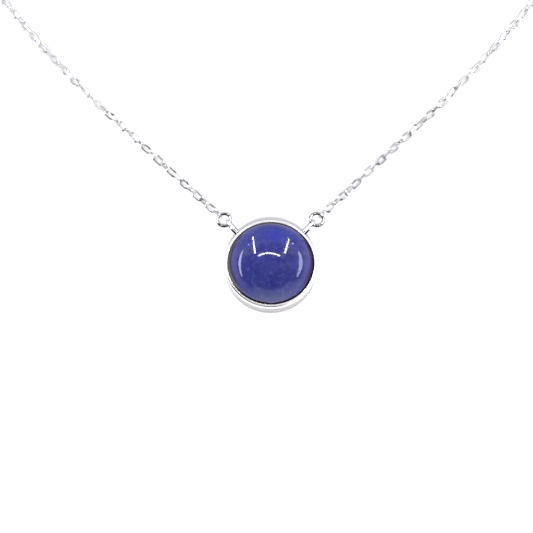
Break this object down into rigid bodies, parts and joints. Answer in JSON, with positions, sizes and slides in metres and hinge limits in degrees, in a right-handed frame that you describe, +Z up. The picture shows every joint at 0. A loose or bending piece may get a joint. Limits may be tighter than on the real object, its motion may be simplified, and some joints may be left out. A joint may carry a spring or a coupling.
{
  "type": "pendant necklace",
  "caption": "Round blue cabochon in a plain silver bezel, hung by two side loops on a fine cable chain with a spring-ring clasp.",
  "frame": {"origin": "middle of the pendant's flat back, which lies on the table", "axes": "+Z up out of the table and through the stone's crown, +Y from the pendant towards the clasp, +X to the right"},
  "size_m": [0.1324, 0.1907, 0.0053],
  "materials": {
    "silver": "high polish with fine hairlines",
    "chain_silver": "polished drawn wire, soldered links",
    "spring_steel": "bare drawn wire",
    "lapis": "polished cabochon, softly mottled"
  },
  "bodies": {
    "pendant": {"back_plate": "silver", "bezel_wall": "silver", "seat_ring": "silver", "cabochon": "lapis", "left_loop": "silver", "right_loop": "silver"},
    "left_ring": {"left_ring": "silver"},
    "right_ring": {"right_ring": "silver"},
    "left_chain_1": {"left_chain_1": "chain_silver"},
    "left_chain_2": {"left_chain_2": "chain_silver"},
    "left_chain_3": {"left_chain_3": "chain_silver"},
    "left_chain_4": {"left_chain_4": "chain_silver"},
    "left_chain_5": {"left_chain_5": "chain_silver"},
    "left_chain_6": {"left_chain_6": "chain_silver"},
    "left_chain_7": {"left_chain_7": "chain_silver"},
    "right_chain_1": {"right_chain_1": "chain_silver"},
    "right_chain_2": {"right_chain_2": "chain_silver"},
    "right_chain_3": {"right_chain_3": "chain_silver"},
    "right_chain_4": {"right_chain_4": "chain_silver"},
    "right_chain_5": {"right_chain_5": "chain_silver"},
    "right_chain_6": {"right_chain_6": "chain_silver"},
    "right_chain_7": {"right_chain_7": "chain_silver"},
    "clasp_ring": {"clasp_ring": "silver"},
    "clasp": {"clasp_body": "silver", "clasp_loop": "silver", "clasp_spring": "spring_steel"},
    "clasp_bolt": {"clasp_bolt": "silver"},
    "tag_ring": {"tag_ring": "silver"},
    "tag": {"tag": "silver"}
  },
  "joints": [
    {"name": "left_ring_lift", "type": "hinge", "parent": "pendant", "child": "left_ring", "pos_m": [-0.0059, 0.00633, 0.00082], "axis": [0.7314, 0.682, 0], "range_deg": [0, 80]},
    {"name": "left_chain_1_swing", "type": "hinge", "parent": "left_ring", "child": "left_chain_1", "pos_m": [-0.00653, 0.00701, 0.00082], "axis": [0, 0, 1], "range_deg": [-30, 30]},
    {"name": "left_chain_2_lift", "type": "hinge", "parent": "left_chain_1", "child": "left_chain_2", "pos_m": [-0.02635, 0.02649, 0.00057], "axis": [0.718, 0.6961, 0], "range_deg": [0, 45]},
    {"name": "left_chain_3_bend", "type": "hinge", "parent": "left_chain_2", "child": "left_chain_3", "pos_m": [-0.0434, 0.04651, 0.00057], "axis": [0, 0, -1], "range_deg": [-30, 30]},
    {"name": "left_chain_4_lift", "type": "hinge", "parent": "left_chain_3", "child": "left_chain_4", "pos_m": [-0.0568, 0.0702, 0.00057], "axis": [0.9241, 0.3821, 0], "range_deg": [0, 45]},
    {"name": "left_chain_5_bend", "type": "hinge", "parent": "left_chain_4", "child": "left_chain_5", "pos_m": [-0.06409, 0.09543, 0.00057], "axis": [0, 0, 1], "range_deg": [-30, 30]},
    {"name": "left_chain_6_lift", "type": "hinge", "parent": "left_chain_5", "child": "left_chain_6", "pos_m": [-0.06537, 0.12261, 0.00057], "axis": [0.9971, -0.0756, 0], "range_deg": [0, 45]},
    {"name": "left_chain_7_bend", "type": "hinge", "parent": "left_chain_6", "child": "left_chain_7", "pos_m": [-0.0623, 0.14875, 0.00057], "axis": [0, 0, -1], "range_deg": [-30, 30]},
    {"name": "clasp_ring_swing", "type": "hinge", "parent": "left_chain_7", "child": "clasp_ring", "pos_m": [-0.05904, 0.17535, 0.00075], "axis": [0, 0, 1], "range_deg": [-60, 60]},
    {"name": "clasp_lift", "type": "hinge", "parent": "clasp_ring", "child": "clasp", "pos_m": [-0.05894, 0.17616, 0.00097], "axis": [0.9925, -0.1219, 0], "range_deg": [0, 70]},
    {"name": "right_ring_lift", "type": "hinge", "parent": "pendant", "child": "right_ring", "pos_m": [0.0059, 0.00633, 0.00082], "axis": [0.7314, -0.682, 0], "range_deg": [0, 80]},
    {"name": "right_chain_1_swing", "type": "hinge", "parent": "right_ring", "child": "right_chain_1", "pos_m": [0.00653, 0.00701, 0.00082], "axis": [0, 0, 1], "range_deg": [-30, 30]},
    {"name": "right_chain_2_lift", "type": "hinge", "parent": "right_chain_1", "child": "right_chain_2", "pos_m": [0.02635, 0.02649, 0.00057], "axis": [0.718, -0.6961, 0], "range_deg": [0, 45]},
    {"name": "right_chain_3_bend", "type": "hinge", "parent": "right_chain_2", "child": "right_chain_3", "pos_m": [0.0434, 0.04651, 0.00057], "axis": [0, 0, -1], "range_deg": [-30, 30]},
    {"name": "right_chain_4_lift", "type": "hinge", "parent": "right_chain_3", "child": "right_chain_4", "pos_m": [0.0568, 0.0702, 0.00057], "axis": [0.9241, -0.3821, 0], "range_deg": [0, 45]},
    {"name": "right_chain_5_bend", "type": "hinge", "parent": "right_chain_4", "child": "right_chain_5", "pos_m": [0.06409, 0.09543, 0.00057], "axis": [0, 0, 1], "range_deg": [-30, 30]},
    {"name": "right_chain_6_lift", "type": "hinge", "parent": "right_chain_5", "child": "right_chain_6", "pos_m": [0.06537, 0.12261, 0.00057], "axis": [0.9971, 0.0756, 0], "range_deg": [0, 45]},
    {"name": "right_chain_7_bend", "type": "hinge", "parent": "right_chain_6", "child": "right_chain_7", "pos_m": [0.0623, 0.14875, 0.00057], "axis": [0, 0, -1], "range_deg": [-30, 30]},
    {"name": "tag_ring_swing", "type": "hinge", "parent": "right_chain_7", "child": "tag_ring", "pos_m": [0.05904, 0.17535, 0.00075], "axis": [0, 0, 1], "range_deg": [-60, 60]},
    {"name": "tag_lift", "type": "hinge", "parent": "tag_ring", "child": "tag", "pos_m": [0.05894, 0.17616, 0.00097], "axis": [0.9925, 0.1219, 0], "range_deg": [0, 70]},
    {"name": "clasp_bolt_slide", "type": "hinge", "parent": "clasp", "child": "clasp_bolt", "pos_m": [-0.05836, 0.18088, 0.00077], "axis": [0, 0, -1], "range_deg": [0, 78], "stiffness_Nm_per_rad": 0.002, "springref_deg": -28.65, "deforming": ["clasp_spring"]}
  ]
}
